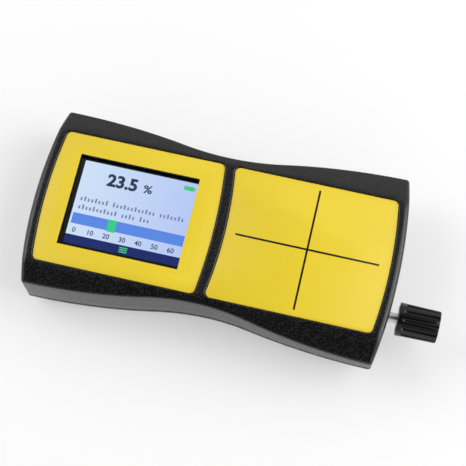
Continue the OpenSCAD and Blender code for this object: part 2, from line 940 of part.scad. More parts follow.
// one plate links the two cells at the display end; at the other end each cell has its own
module battery_plates() {
    half = 13.6;
    gap = 2.8;
    z0 = 3.9;
    height = 11;
    color([0.8, 0.8, 0.8]) {
        translate([bay_x0, -half, z0])
            cube([plate_t, 2 * half, height]);
        for (y = [-half, gap / 2])
            translate([bay_x1 - plate_t, y, z0])
                cube([plate_t, half - gap / 2, height]);
    }
}

// straight leads from the plates to the control board, each with a cone of solder
module battery_leads() {
    wire = 1.2;
    for (side = [-1, 1])
        color(side > 0 ? [0.7, 0.1, 0.1] : [0.1, 0.1, 0.1])
            translate([0, side * lead_y, 0]) {
                translate([bay_x1, 0, lead_z])
                    rotate([0, 90, 0])
                        cylinder(d = wire, h = 20);
                translate([10, 0, control_board_z + board_t])
                    cylinder(d1 = 2.8, d2 = 1.6, h = 1.1);
            }
}

// sliding battery cover with side tongues and grip grooves
module battery_cover() {
    tongue_z = rail_z[0] + 0.1;
    grooves = 6;
    groove_pitch = 2.4;
    color([0.12, 0.12, 0.13])
        difference() {
            intersection() {
                lower_body();
                union() {
                    translate([-far, -cover_half_width, cover_z[0]])
                        cube([far + slot_end - cover_gap, 2 * cover_half_width, cover_z[1] - cover_z[0]]);
                    translate([-far, -tongue_half, tongue_z])
                        cube([far + slot_end - cover_gap, 2 * tongue_half, cover_z[1] - tongue_z]);
                }
            }
            // grip grooves for a thumb
            for (k = [0:grooves - 1])
                translate([-58 + groove_pitch * k, 8, -0.6])
                    rotate([90, 0, 0])
                        cylinder(d = groove_pitch, h = 16);
        }
}

module case_screw() {
    cylinder(d = 2.4, h = screw_length);
    translate([0, 0, -1.8])
        difference() {
            cylinder(d = 5.2, h = 1.8);
            for (a = [0, 90])
                rotate(a)
                    translate([-1.5, -0.4, -1])
                        cube([3, 0.8, 1.9]);
        }
}

module case_screws() {
    color([0.6, 0.6, 0.62]) {
        at(case_screws_low, low_seat)
            case_screw();
        at(case_screws_high, high_seat)
            case_screw();
    }
}

module board_screw(length) {
    cylinder(d = 2, h = length);
    translate([0, 0, -1.2])
        difference() {
            cylinder(d = 3.6, h = 1.2);
            for (a = [0, 90])
                rotate(a)
                    translate([-1, -0.3, -1])
                        cube([2, 0.6, 1.6]);
        }
}

module board_screws() {
    color([0.6, 0.6, 0.62]) {
        at(display_posts, display_board_z)
            board_screw(4.5);
        at(sensor_posts, sensor_board_z)
            board_screw(4.5);
        at(control_posts, control_board_z + board_t)
            rotate([180, 0, 0])
                board_screw(4.5);
    }
}

top_shell();
bottom_shell();
display_label();
sensor_label();
display_window();
display_gasket();
lcd_panel();
display_board();
display_cable();
link_cable();
cable_sockets();
control_board();
logic_chips();
board_header();
sensor_board();
sensor_former();
sensor_coil();
ferrite_core();
coil_leads();
encoder_body();
encoder_bushing();
encoder_terminals();
switch_dome();
encoder_rotor();
encoder_shaft();
control_knob();
battery_cells();
battery_springs();
battery_plates();
battery_leads();
battery_cover();
case_screws();
board_screws();
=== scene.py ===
import math

import bmesh
import bpy
from mathutils import Matrix, Vector


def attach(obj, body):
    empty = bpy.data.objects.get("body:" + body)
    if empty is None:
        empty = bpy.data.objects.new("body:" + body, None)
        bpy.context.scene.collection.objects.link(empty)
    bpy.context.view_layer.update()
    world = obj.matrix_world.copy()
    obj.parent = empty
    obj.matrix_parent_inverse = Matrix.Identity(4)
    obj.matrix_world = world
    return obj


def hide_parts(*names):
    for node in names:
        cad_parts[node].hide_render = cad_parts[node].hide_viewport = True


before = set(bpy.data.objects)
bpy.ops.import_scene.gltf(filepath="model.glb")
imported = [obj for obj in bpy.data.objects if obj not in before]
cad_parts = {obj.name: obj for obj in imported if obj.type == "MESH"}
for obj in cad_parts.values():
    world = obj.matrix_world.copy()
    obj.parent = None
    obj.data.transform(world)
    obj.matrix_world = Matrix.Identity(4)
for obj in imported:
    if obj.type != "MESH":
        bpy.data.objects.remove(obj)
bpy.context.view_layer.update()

mm = 0.001
quarterTurn = math.pi / 2
print("frame loaded")

# pinhole camera fitted to the labels' corners; axes are the camera's own, place is in mm
camera = {
    "place": (48.60, -154.77, 523.49),
    "right": (0.97392, 0.22659, -0.01147),
    "down": (0.21220, -0.92762, -0.30739),
    "forward": (-0.08030, 0.29694, -0.95151),
    "lens": 107.03,
    "sensor": 36.0,
    "shift": (-0.00107, 0.00107),
    "nearest": 0.01,  # m
}


def makeCamera():
    data = bpy.data.cameras.new("studioCamera")
    data.lens = camera["lens"]
    data.sensor_width = camera["sensor"]
    data.shift_x, data.shift_y = camera["shift"]
    data.clip_start = camera["nearest"]
    eye = bpy.data.objects.new("studioCamera", data)
    bpy.context.scene.collection.objects.link(eye)
    axes = [Vector(camera["right"]), -Vector(camera["down"]), -Vector(camera["forward"])]
    eye.matrix_world = Matrix([
        (axes[0][k], axes[1][k], axes[2][k], camera["place"][k] * mm) for k in range(3)
    ] + [(0, 0, 0, 1)])
    bpy.context.scene.camera = eye


makeCamera()
bpy.context.scene.view_settings.view_transform = "Standard"


# sRGB hex to the linear colour that the shaders use
def hexColour(code):
    parts = [int(code[k:k + 2], 16) / 255 for k in (1, 3, 5)]
    linear = [p / 12.92 if p <= 0.04045 else ((p + 0.055) / 1.055) ** 2.4 for p in parts]
    return tuple(linear) + (1.0,)


# adds one node; a name or number that is an input sets or links that input, any other is a setting
def addNode(tree, kind, settings=None, links=None):
    node = tree.nodes.new(kind)
    for key, value in (settings or {}).items():
        if isinstance(key, int) or key in node.inputs:
            node.inputs[key].default_value = value
        else:
            setattr(node, key, value)
    for key, output in (links or {}).items():
        tree.links.new(output, node.inputs[key])
    return node


def mathNode(tree, operation, links, settings=None):
    settings = {"operation": operation, **(settings or {})}
    return addNode(tree, "ShaderNodeMath", settings, links).outputs[0]


def deselectAll():
    if bpy.context.object and bpy.context.object.mode != "OBJECT":
        bpy.ops.object.mode_set(mode="OBJECT")
    bpy.ops.object.select_all(action="DESELECT")


# lamps: place in m, aimed at the housing; size in m, power in W
lamps = {
    "rightBox": {"place": (0.80, 0.16, 0.76), "size": (0.8, 1.0), "power": 5.8},
    "lowRightStrip": {"place": (0.90, 0.10, 0.26), "size": (0.7, 0.3), "power": 2.1},
    "leftBox": {"place": (-0.90, 0.10, 0.74), "size": (0.6, 1.0), "power": 4.9},
}
# the black top mirrors a dark gap overhead, between the boxes, and so stays black;
# gap is the way to its middle, gapEdge the cosines at which it starts and is full
studio = {
    "floorSize": 6.0,
    "floor": "#f7f7f7",
    "floorRough": 0.9,
    "floorShine": 0.1,
    "floorWhite": 0.4,
    "glow": 0.85,
    "gap": (-0.06, -0.22, 0.97),
    "gapGlow": 0.05,
    "gapEdge": (0.62, 0.94),
}


def makeLamps():
    for name, lamp in lamps.items():
        data = bpy.data.lights.new(name, "AREA")
        data.shape = "RECTANGLE"
        data.size, data.size_y = lamp["size"]
        data.energy = lamp["power"]
        holder = bpy.data.objects.new(name, data)
        bpy.context.scene.collection.objects.link(holder)
        place = Vector(lamp["place"])
        holder.location = place
        holder.rotation_euler = (-place).to_track_quat("-Z", "Y").to_euler()


def makeRoom():
    world = bpy.data.worlds.new("studioRoom")
    bpy.context.scene.world = world
    world.use_nodes = True
    tree = world.node_tree
    background = tree.nodes["Background"]
    background.inputs["Color"].default_value = hexColour("#ffffff")
    direction = addNode(tree, "ShaderNodeTexCoord").outputs["Generated"]
    nearGap = addNode(tree, "ShaderNodeVectorMath", {
        "operation": "DOT_PRODUCT", 1: studio["gap"],
    }, {0: direction})
    glow = addNode(tree, "ShaderNodeMapRange", {
        "interpolation_type": "SMOOTHSTEP",
        "From Min": studio["gapEdge"][0], "From Max": studio["gapEdge"][1],
        "To Min": studio["glow"], "To Max": studio["gapGlow"],
    }, {"Value": nearGap.outputs["Value"]})
    tree.links.new(glow.outputs["Result"], background.inputs["Strength"])


# matt pale floor; a share of what is seen of it is plain white, so the shadow on it stays light
def makeFloor():
    deselectAll()
    bpy.ops.mesh.primitive_plane_add(size=studio["floorSize"])
    floor = bpy.context.object
    floor.name = "studioFloor"
    paint = bpy.data.materials.new("paleFloor")
    paint.use_nodes = True
    tree = paint.node_tree
    shader = tree.nodes["Principled BSDF"]
    shader.inputs["Base Color"].default_value = hexColour(studio["floor"])
    shader.inputs["Roughness"].default_value = studio["floorRough"]
    shader.inputs["Specular IOR Level"].default_value = studio["floorShine"]
    rays = addNode(tree, "ShaderNodeLightPath").outputs
    seen = mathNode(tree, "MAXIMUM", {0: rays["Is Camera Ray"], 1: rays["Is Glossy Ray"]})
    seen = mathNode(tree, "MAXIMUM", {0: seen, 1: rays["Is Transmission Ray"]})
    share = mathNode(tree, "MULTIPLY", {0: seen}, {1: studio["floorWhite"]})
    white = addNode(tree, "ShaderNodeEmission", {"Color": hexColour("#ffffff"), "Strength": 1.0})
    mixed = addNode(tree, "ShaderNodeMixShader", None, {
        0: share, 1: shader.outputs[0], 2: white.outputs[0],
    })
    tree.links.new(mixed.outputs[0], tree.nodes["Material Output"].inputs["Surface"])
    floor.data.materials.append(paint)


makeLamps()
makeRoom()
makeFloor()
print("camera and studio ready")


def startMaterial(name):
    material = bpy.data.materials.new(name)
    material.use_nodes = True
    tree = material.node_tree
    coords = addNode(tree, "ShaderNodeTexCoord").outputs["Object"]
    return material, tree, tree.nodes["Principled BSDF"], coords


# soft noise whose lumps are about sizeMm across
def noise(tree, coords, sizeMm, detail=2.0):
    return addNode(tree, "ShaderNodeTexNoise", {
        "Scale": 1000 / sizeMm, "Detail": detail, "Roughness": 0.5,
    }, {"Vector": coords}).outputs["Fac"]


# stretches the middle of a noise, where nearly all of it lies, from low to high
def spread(tree, value, low, high, fromLow=0.3, fromHigh=0.7):
    return addNode(tree, "ShaderNodeMapRange", {
        "From Min": fromLow, "From Max": fromHigh, "To Min": low, "To Max": high,
    }, {"Value": value}).outputs["Result"]


# sockets 6 and 7 of the Mix node are its two colours, output 2 the mixed one
def mixColours(tree, factor, first, second):
    settings = {"data_type": "RGBA"}
    links = {0: factor}
    for place, colour in ((6, first), (7, second)):
        if isinstance(colour, str):
            settings[place] = hexColour(colour)
        else:
            links[place] = colour
    return addNode(tree, "ShaderNodeMix", settings, links).outputs[2]


def addBump(tree, shader, height, strength, depthMm):
    bump = addNode(tree, "ShaderNodeBump", {
        "Strength": strength, "Distance": depthMm * mm,
    }, {"Height": height})
    tree.links.new(bump.outputs["Normal"], shader.inputs["Normal"])


# what a finish has where its own row says nothing else
plainLook = {"driftMm": 18.0, "driftDetail": 3.0, "bump": 0.3, "bumpMm": 0.05,
             "metallic": 0.0, "ior": 1.5}


# a moulded, cast or coated surface: colour drifts slightly, a grain gives bump and uneven gloss
def grainedMaterial(name, row):
    look = {**plainLook, **row}
    material, tree, shader, coords = startMaterial(name)
    grain = noise(tree, coords, look["grainMm"])
    drift = noise(tree, coords, look["driftMm"], look["driftDetail"])
    tone = mixColours(tree, spread(tree, drift, 0, 1), look["dark"], look["light"])
    # lighter flecks where the grain stands high: painted glints, not a pigment of the plastic
    if "paintedGlint" in look:
        paintedGlints = spread(tree, grain, 0, 1, *look["paintedGlintFrom"])
        tone = mixColours(tree, paintedGlints, tone, look["paintedGlint"])
    tree.links.new(tone, shader.inputs["Base Color"])
    tree.links.new(spread(tree, grain, *look["rough"]), shader.inputs["Roughness"])
    addBump(tree, shader, grain, look["bump"], look["bumpMm"])
    shader.inputs["Metallic"].default_value = look["metallic"]
    shader.inputs["IOR"].default_value = look["ior"]
    return material


looks = {
    # injection-moulded ABS with a spark-eroded grain: near black, dull, with its faint sparkle
    # painted into the colour as lighter flecks, painted glints;
    # the real grain is likely finer, and this one is drawn to show at the photograph's scale
    "grainedAbs": {"dark": "#060608", "light": "#09090b", "grainMm": 0.65, "rough": (0.18, 0.38),
                   "bump": 0.5, "bumpMm": 0.04, "driftMm": 14,
                   "paintedGlint": "#1d1d1f", "paintedGlintFrom": (0.53, 0.63)},
    # smoother ABS of the knob: black, with a satin shine along its ribs
    "satinAbs": {"dark": "#070708", "light": "#0a0a0b", "grainMm": 0.35, "rough": (0.16, 0.24),
                 "bump": 0.12, "bumpMm": 0.02, "ior": 1.42},
    # closed-cell foam: black, fully dull
    "foamBlack": {"dark": "#0d0d0d", "light": "#161616", "grainMm": 0.4, "rough": (0.85, 0.98),
                  "bump": 0.6},
    # green solder mask over woven glass: glossy, with a faint weave
    "solderMask": {"dark": "#0a4a26", "light": "#0e5a2f", "grainMm": 0.6, "rough": (0.22, 0.4),
                   "bump": 0.2},
    # polyimide film with copper under it: clear amber
    "polyimide": {"dark": "#8a4c14", "light": "#a4611e", "grainMm": 1.2, "rough": (0.2, 0.35),
                  "bump": 0.1},
    # flat cable's PVC: off-white, slightly dull
    "flatCable": {"dark": "#cfcabb", "light": "#dcd8cc", "grainMm": 0.7, "rough": (0.4, 0.55)},
    # nylon connector: cream, waxy
    "nylonCream": {"dark": "#d2c9b2", "light": "#ddd6c2", "grainMm": 0.5, "rough": (0.4, 0.55)},
    # transfer-moulded epoxy of the chips: black, matt
    "epoxyBlack": {"dark": "#141416", "light": "#1d1d1f", "grainMm": 0.25, "rough": (0.6, 0.75)},
    # nylon of the coil former: milky white, waxy
    "nylonWhite": {"dark": "#dddcd4", "light": "#e9e8e2", "grainMm": 0.6, "rough": (0.35, 0.5)},
    # enamelled copper winding: brown-orange, glossy lacquer
    "enamelCopper": {"dark": "#9c5424", "light": "#b8672f", "grainMm": 0.4, "rough": (0.2, 0.35),
                     "metallic": 0.8},
    # sintered ferrite: dark grey, fine pores
    "ferrite": {"dark": "#2c2c2f", "light": "#38383c", "grainMm": 0.3, "rough": (0.45, 0.65),
                "bump": 0.4},
    # tin-plated steel of the encoder's case and bushing: soft grey shine
    "tinPlate": {"dark": "#a9a9ab", "light": "#bdbdbf", "grainMm": 0.5, "rough": (0.25, 0.4),
                 "metallic": 1.0},
    # turned steel of the shaft: bright, with fine turning marks
    "turnedSteel": {"dark": "#d2d2d0", "light": "#e0e0de", "grainMm": 0.25, "rough": (0.3, 0.42),
                    "metallic": 1.0, "bump": 0.1, "bumpMm": 0.01},
    # tinned brass terminals: pale gold, half bright
    "tinnedBrass": {"dark": "#b9a878", "light": "#cbbd92", "grainMm": 0.3, "rough": (0.25, 0.4),
                    "metallic": 1.0},
    # nickel-plated spring steel: bright, slightly warm
    "nickelPlate": {"dark": "#b4b2ac", "light": "#c9c7c1", "grainMm": 0.3, "rough": (0.15, 0.28),
                    "metallic": 1.0},
    # natural acetal of the rotor: milky, slick
    "acetal": {"dark": "#dcd9cb", "light": "#e6e4d9", "grainMm": 0.8, "rough": (0.25, 0.35)},
    # film wrap of the cells: dark grey, glossy
    "cellWrap": {"dark": "#26292e", "light": "#30343a", "grainMm": 1.0, "rough": (0.25, 0.35)},
    # PVC sleeve of the leads: red, slightly dull
    "leadSleeve": {"dark": "#8a1414", "light": "#9c1a1a", "grainMm": 0.6, "rough": (0.35, 0.5)},
    # zinc-plated screws: cool grey, bright
    "zincPlate": {"dark": "#a9acb0", "light": "#c0c3c6", "grainMm": 0.3, "rough": (0.22, 0.36),
                  "metallic": 1.0},
}
finishes = {name: grainedMaterial(name, look) for name, look in looks.items()}


# 1 where both x and y are inside the box (x0, y0, x1, y1), in mm
def insideBox(tree, parts, box):
    x0, y0, x1, y1 = box
    masks = []
    for axis, low, high in (("X", x0, x1), ("Y", y0, y1)):
        middle, half = (low + high) / 2 * mm, (high - low) / 2 * mm
        masks.append(mathNode(tree, "COMPARE", {0: parts.outputs[axis]}, {1: middle, 2: half}))
    return mathNode(tree, "MULTIPLY", {0: masks[0], 1: masks[1]})


# screen-printed polycarbonate film: a strong flat yellow under a fine satin texture;
# the black lines printed on it are boxes in mm
film = {
    "yellow": "#e6cb36",
    "yellowDeep": "#e2c732",
    "driftMm": 30.0,
    "ink": "#0c0b08",
    "lines": [(7.43, -0.39, 62.56, 0.39), (34.71, -23.87, 35.49, 24.03)],
    "textureMm": 0.5,
    "rough": (0.26, 0.36),
    "bump": 0.15,
    "bumpMm": 0.01,
    "ior": 1.36,
}


def makeFilm(name, printed):
    material, tree, shader, coords = startMaterial(name)
    texture = noise(tree, coords, film["textureMm"])
    drift = noise(tree, coords, film["driftMm"])
    tone = mixColours(tree, spread(tree, drift, 0, 1), film["yellow"], film["yellowDeep"])
    if printed:
        parts = addNode(tree, "ShaderNodeSeparateXYZ", links={"Vector": coords})
        masks = [insideBox(tree, parts, line) for line in film["lines"]]
        cross = mathNode(tree, "MAXIMUM", {0: masks[0], 1: masks[1]})
        tone = mixColours(tree, cross, tone, film["ink"])
    tree.links.new(tone, shader.inputs["Base Color"])
    tree.links.new(spread(tree, texture, *film["rough"]), shader.inputs["Roughness"])
    addBump(tree, shader, texture, film["bump"], film["bumpMm"])
    shader.inputs["IOR"].default_value = film["ior"]
    return material


finishes["displayFilm"] = makeFilm("displayFilm", False)
finishes["sensorFilm"] = makeFilm("sensorFilm", True)

# lit colour display: pale blue field, painted lighter towards its left as a painted glare, blue
# scale bar with a green marker, navy foot, black border;
# x and y are the lit area's left top corner in mm, boxes are fractions of it from left and top
screen = {
    "x": -55.7, "y": 17.3, "width": 45.0, "height": 33.8,
    "field": "#d6e9ff", "fieldWithoutGlare": "#bccffc",
    "bar": "#5c8cea", "barBox": (0.017, 0.635, 0.99, 0.763),
    "marker": "#30d588", "markerBox": (0.328, 0.632, 0.40, 0.775),
    "foot": "#14266c", "footBox": (0.0, 0.895, 1.0, 1.0),
    "litAbove": 23.9,  # only the panel's front face glows
    "glow": 1.0,
    "unlit": "#050507", "rough": 0.25, "shine": 0.2,
}


# fractions of the lit area to (x0, y0, x1, y1) in mm
def screenBox(fractions):
    s0, t0, s1, t1 = fractions
    return (screen["x"] + s0 * screen["width"], screen["y"] - t1 * screen["height"],
            screen["x"] + s1 * screen["width"], screen["y"] - t0 * screen["height"])


def makeGlow(tree, shader, tone, shine):
    tree.links.new(tone, shader.inputs["Emission Color"])
    shader.inputs["Emission Strength"].default_value = screen["glow"]
    shader.inputs["Base Color"].default_value = hexColour(screen["unlit"])
    shader.inputs["Specular IOR Level"].default_value = shine


def makeScreen():
    material, tree, shader, coords = startMaterial("litDisplay")
    parts = addNode(tree, "ShaderNodeSeparateXYZ", links={"Vector": coords})
    # the field fades from its painted glare at the left to its plain colour at the right
    paintedGlareFade = addNode(tree, "ShaderNodeMapRange", {
        "From Min": screen["x"] * mm, "From Max": (screen["x"] + screen["width"]) * mm,
    }, {"Value": parts.outputs["X"]}).outputs["Result"]
    tone = mixColours(tree, paintedGlareFade, screen["field"], screen["fieldWithoutGlare"])
    for item in ("bar", "marker", "foot"):
        inside = insideBox(tree, parts, screenBox(screen[item + "Box"]))
        tone = mixColours(tree, inside, tone, screen[item])
    lit = insideBox(tree, parts, screenBox((0, 0, 1, 1)))
    front = mathNode(tree, "GREATER_THAN", {0: parts.outputs["Z"]}, {1: screen["litAbove"] * mm})
    lit = mathNode(tree, "MULTIPLY", {0: lit, 1: front})
    makeGlow(tree, shader, mixColours(tree, lit, "#000000", tone), screen["shine"])
    shader.inputs["Roughness"].default_value = screen["rough"]
    return material


# inks of the display's figures glow like the field they stand on, a little of which shows through
inks = {
    "colours": {"navyInk": "#0b153d", "greyInk": "#8582ac", "slateInk": "#2e3852",
                "greenInk": "#37cc80"},
    "mottleMm": 2.0, "mottle": 0.06, "shine": 0.08,
}


def makeInk(name, colour):
    material, tree, shader, coords = startMaterial(name)
    through = spread(tree, noise(tree, coords, inks["mottleMm"]), 0, inks["mottle"])
    makeGlow(tree, shader, mixColours(tree, through, colour, screen["field"]), inks["shine"])
    return material


# clear polycarbonate: colourless, with the faintest haze
clearSheet = {"colour": "#fafcfd", "ior": 1.45, "hazeMm": 6.0, "haze": 0.02}


def makeClearSheet():
    material, tree, shader, coords = startMaterial("clearPolycarbonate")
    rough = spread(tree, noise(tree, coords, clearSheet["hazeMm"]), 0.0, clearSheet["haze"])
    tree.links.new(rough, shader.inputs["Roughness"])
    shader.inputs["Base Color"].default_value = hexColour(clearSheet["colour"])
    shader.inputs["Transmission Weight"].default_value = 1.0
    shader.inputs["IOR"].default_value = clearSheet["ior"]
    return material


finishes["litDisplay"] = makeScreen()
for ink, colour in inks["colours"].items():
    finishes[ink] = makeInk(ink, colour)
finishes["clearPolycarbonate"] = makeClearSheet()
print("finishes ready")


# gives a piece its finish and the body it rides on, and hides the CAD nodes it stands for
def dress(piece, finish, body, slot, *nodes):
    piece.data.materials.clear()
    piece.data.materials.append(finishes[finish])
    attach(piece, body)
    if nodes:
        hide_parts(*nodes)


# skins a closed solid: a filled ring is extruded from ring to ring; points are in mm
def loft(name, rings):
    deselectAll()
    bpy.ops.mesh.primitive_circle_add(vertices=len(rings[0]), radius=1, fill_type="NGON")
    piece = bpy.context.object
    piece.name = name
    bpy.ops.object.mode_set(mode="EDIT")
    for step, ring in enumerate(rings):
        if step:
            bpy.ops.mesh.extrude_region_move()
        mesh = bmesh.from_edit_mesh(piece.data)
        order = mesh.verts.layers.int.get("order") or mesh.verts.layers.int.new("order")
        for vertex in mesh.verts:
            if not step:
                vertex[order] = vertex.index
            if vertex.select:
                vertex.co = Vector(ring[vertex[order]]) * mm
    bpy.ops.mesh.select_all(action="SELECT")
    bpy.ops.mesh.normals_make_consistent(inside=False)
    bpy.ops.object.mode_set(mode="OBJECT")
    piece.data.attributes.remove(piece.data.attributes["order"])
    return piece


def applyModifier(piece, modifier):
    deselectAll()
    bpy.context.view_layer.objects.active = piece
    bpy.ops.object.modifier_apply(modifier=modifier.name)


# takes the cutter's shape out of the piece, and the cutter out of the scene
def cut(piece, cutter):
    modifier = piece.modifiers.new("cut", "BOOLEAN")
    modifier.operation = "DIFFERENCE"
    modifier.solver = "EXACT"
    modifier.object = cutter
    applyModifier(piece, modifier)
    bpy.data.objects.remove(cutter, do_unlink=True)


# one flat bevel along the edges that are sharper than the angle
def breakEdges(piece, widthMm, angle):
    modifier = piece.modifiers.new("edges", "BEVEL")
    modifier.width = widthMm * mm
    modifier.segments = 1
    modifier.limit_method = "ANGLE"
    modifier.angle_limit = math.radians(angle)
    applyModifier(piece, modifier)


def smoothShade(piece, angle):
    deselectAll()
    piece.select_set(True)
    bpy.context.view_layer.objects.active = piece
    bpy.ops.object.shade_smooth_by_angle(angle=math.radians(angle))


def cylinder(name, centre, radius, length, tilt=0.0):
    deselectAll()
    bpy.ops.mesh.primitive_cylinder_add(
        vertices=64, radius=radius * mm, depth=length * mm,
        location=[c * mm for c in centre], rotation=(0, tilt, 0))
    piece = bpy.context.object
    piece.name = name
    bpy.ops.object.transform_apply(location=True, rotation=True, scale=True)
    return piece


def cylinderAlongX(name, x0, x1, y, z, radius):
    return cylinder(name, ((x0 + x1) / 2, y, z), radius, x1 - x0, quarterTurn)


def blockBetween(name, low, high):
    deselectAll()
    centre = [(a + b) / 2 * mm for a, b in zip(low, high)]
    bpy.ops.mesh.primitive_cube_add(size=1, location=centre)
    piece = bpy.context.object
    piece.name = name
    piece.scale = [(b - a) * mm for a, b in zip(low, high)]
    bpy.ops.object.transform_apply(location=True, rotation=True, scale=True)
    return piece


# housing outline: the same arcs as the CAD housing, sampled more finely; mm
case = {
    "length": 141.5, "displayEndWidth": 70.7, "knobEndWidth": 74.2, "waistWidth": 59.2,
    "waistX": -1.4, "waistRadius": 100.0, "displayEndRadius": 170.0, "knobEndRadius": 210.0,
    "corner": 1.3, "leastCorner": 0.8, "displayCrownInset": 5.7,
    "seam": [(-22.9, 6.8), (-2.9, 7.3), (13.1, 14.7), (71.25, 17.3)], "seamSteps": 10,
    "endSteps": 14, "cornerSteps": 8, "displaySideSteps": 16, "waistSteps": 22, "knobSideSteps": 18,
}
endX = case["length"] / 2


# the crowned side that touches the waist's arc: its centre and radius
def sideArc(crownX, half):
    dx, dw = crownX - case["waistX"], half - case["waistWidth"] / 2
    radius = (dx * dx + dw * dw) / (2 * dw) - case["waistRadius"]
    return (crownX, half - radius), radius


# where two circles cross, on the chosen side of the line between their centres
def circleCross(a, ra, b, rb, side):
    gap = math.dist(a, b)
    ux, uy = (b[0] - a[0]) / gap, (b[1] - a[1]) / gap
    along = (ra * ra - rb * rb + gap * gap) / (2 * gap)
    off = side * math.sqrt(ra * ra - along * along)
    return (a[0] + ux * along - uy * off, a[1] + uy * along + ux * off)


def heading(a, b):
    return math.atan2(b[1] - a[1], b[0] - a[0])


# points from the arc's start up to, and without, its end
def arcPoints(centre, radius, start, end, count):
    steps = [start + (end - start) * k / count for k in range(count)]
    return [(centre[0] + radius * math.cos(a), centre[1] + radius * math.sin(a)) for a in steps]


# the whole outline, drawn in by the inset; its far half is built of arcs and mirrored
def outline(inset):
    corner = max(case["corner"] - inset, case["leastCorner"])
    displayEnd = (-endX + case["displayEndRadius"], 0.0)
    knobEnd = (endX - case["knobEndRadius"], 0.0)
    waist = (case["waistX"], case["waistWidth"] / 2 + case["waistRadius"])
    displaySide, displaySideR = sideArc(
        -endX + case["displayCrownInset"], case["displayEndWidth"] / 2)
    knobSide, knobSideR = sideArc(endX, case["knobEndWidth"] / 2)
    endR, knobR = case["displayEndRadius"] - inset, case["knobEndRadius"] - inset
    leftR, rightR = displaySideR - inset, knobSideR - inset
    left = circleCross(displayEnd, endR - corner, displaySide, leftR - corner, -1)
    right = circleCross(knobEnd, knobR - corner, knobSide, rightR - corner, 1)
    arcs = (
        (displayEnd, endR, math.pi, heading(displayEnd, left), "endSteps"),
        (left, corner, heading(displayEnd, left), heading(displaySide, left), "cornerSteps"),
        (displaySide, leftR, heading(displaySide, left), heading(displaySide, waist),
         "displaySideSteps"),
        (waist, case["waistRadius"] + inset, heading(waist, displaySide),
         heading(waist, knobSide), "waistSteps"),
        (knobSide, rightR, heading(knobSide, waist), heading(knobSide, right), "knobSideSteps"),
        (right, corner, heading(knobSide, right), heading(knobEnd, right), "cornerSteps"),
        (knobEnd, knobR, heading(knobEnd, right), 0.0, "endSteps"),
    )
    half = []
    for centre, radius, start, end, steps in arcs:
        half += arcPoints(centre, radius, start, end, case[steps])
    half.append((knobEnd[0] + knobR, 0.0))
    return half + [(x, -y) for x, y in half[-2:0:-1]]


def bezier(points, t):
    s = 1 - t
    weights = (s ** 3, 3 * s * s * t, 3 * s * t * t, t ** 3)
    return tuple(sum(w * p[k] for w, p in zip(weights, points)) for k in (0, 1))


seamLine = [bezier(case["seam"], k / case["seamSteps"]) for k in range(case["seamSteps"] + 1)]


def seamHeight(x):
    if x <= seamLine[0][0]:
        return seamLine[0][1]
    for (xa, za), (xb, zb) in zip(seamLine, seamLine[1:]):
        if x <= xb:
            return za + (zb - za) * (x - xa) / (xb - xa)
    return seamLine[-1][1]


# upper shell, mm; the shares place its rings up the wall and across the top
upper = {
    "rimZ": 27.9, "shoulderStart": 26.9, "shoulderSlope": 16.0, "shoulderRadius": 80.0,
    "endRound": 2.2, "sideRound": 0.5, "roundSteps": 7,
    "wall": 2.0, "ceilingZ": 25.25, "ceilingDrop": 0.4, "ceilingHalf": 27.7,
    "recessZ": 27.25, "recessGap": 0.25, "rimEdge": 0.45, "rimSteps": 4,
    "lipHeight": 1.6, "seamEdge": 0.3, "seamRise": 0.9,
    "wallShares": (0.33, 0.66), "topShares": (0.3, 0.65, 1.0), "topInset": 3.5,
    "smoothAngle": 40,
}
opening = {"x0": -57.4, "x1": -10.6, "half": 18.4, "shellFrom": 23, "labelFrom": 20, "to": 30}
pocket = {"x": 35.1, "z": 25.2, "radius": 12.5, "depth": 2}  # for the coil, under the target
knobAxis = {"y": -15.9, "z": 17.5}
shaftHole = {"x0": 58, "x1": 75, "radius": 4.0}


# flat between the shoulders' starts, then a circle that sets off at the shoulder's slope
def shoulderHeight(y):
    slope = math.radians(upper["shoulderSlope"])
    centreY = upper["shoulderStart"] - upper["shoulderRadius"] * math.sin(slope)
    centreZ = upper["rimZ"] - upper["shoulderRadius"] * math.cos(slope)
    if abs(y) <= upper["shoulderStart"]:
        return upper["rimZ"]
    return centreZ + math.sqrt(upper["shoulderRadius"] ** 2 - (abs(y) - centreY) ** 2)


# labels, mm: each end is a shallow arc, and a bend is that arc's radius
labels = {
    "display": {"left": -66.5, "leftBend": 185.0, "right": -0.95, "rightBend": -215.0},
    "sensor": {"left": 3.6, "leftBend": -165.0, "right": 66.75, "rightBend": -182.0},
    "halfWidth": 26.3, "corner": 2.0, "cornerSteps": 6, "endSteps": 16,
    "low": 27.25, "high": 27.5, "edge": 0.08, "edgeShare": 0.35,
    "openingEdge": 0.06, "openingAngle": 60, "smoothAngle": 40,
}


# runs clockwise from the left end's near corner
def labelOutline(which, grow):
    label = labels[which]
    h = labels["halfWidth"] + grow
    c = labels["corner"] + grow

    def left(y):
        return label["left"] - grow + y * y / (2 * label["leftBend"])

    def right(y):
        return label["right"] + grow + y * y / (2 * label["rightBend"])

    def cornerArc(x, y, start, end):
        points = arcPoints((x, y), c, start * quarterTurn, end * quarterTurn, labels["cornerSteps"])
        return points[1:]

    steps = labels["endSteps"]
    ys = [-h + c + 2 * (h - c) * k / steps for k in range(steps + 1)]
    xl, xr = left(h - c) + c, right(h - c) - c
    return (
        [(left(y), y) for y in ys]
        + cornerArc(xl, h - c, 2, 1)
        + [(xl, h), (xr, h)]
        + cornerArc(xr, h - c, 1, 0)
        + [(right(y), y) for y in reversed(ys)]
        + cornerArc(xr, c - h, 0, -1)
        + [(xr, -h), (xl, -h)]
        + cornerArc(xl, c - h, 3, 2)
    )


def labelRing(which, grow, z):
    return [(x, y, z) for x, y in labelOutline(which, grow)]


def openingBlock(fromZ):
    return blockBetween("openingCutter", (opening["x0"], -opening["half"], fromZ),
                        (opening["x1"], opening["half"], opening["to"]))


